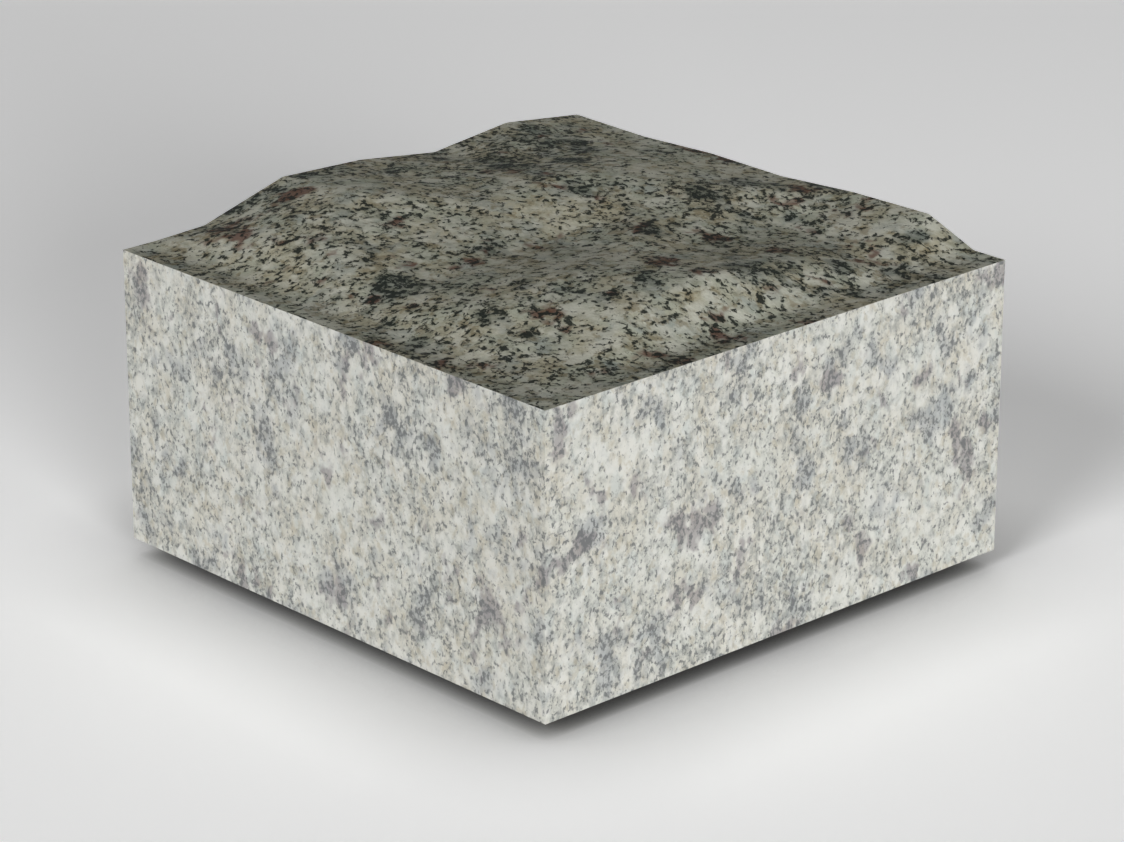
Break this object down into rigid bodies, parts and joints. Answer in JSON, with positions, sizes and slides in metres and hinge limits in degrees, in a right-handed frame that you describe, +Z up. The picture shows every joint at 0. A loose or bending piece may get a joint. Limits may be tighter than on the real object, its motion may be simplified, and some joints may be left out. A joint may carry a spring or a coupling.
{
  "type": "granite sett",
  "caption": "Square granite paving sett with flat sawn sides and a roughly split top and underside, for bedding into paths, drives and kerb lines.",
  "frame": {"origin": "middle of the plan, at the level of the high spots of the underside that the sett stands on", "axes": "+Z up through the split top, +X and +Y square to the sawn sides, with the straight front corner of the top at -X and -Y"},
  "size_m": [0.1, 0.1, 0.0599],
  "materials": {
    "granite": "speckled granite: matt and pale grey on the sawn sides, rough, darker and olive beige on the split faces"
  },
  "bodies": {
    "root": {"granite_sett": "granite"}
  },
  "joints": []
}
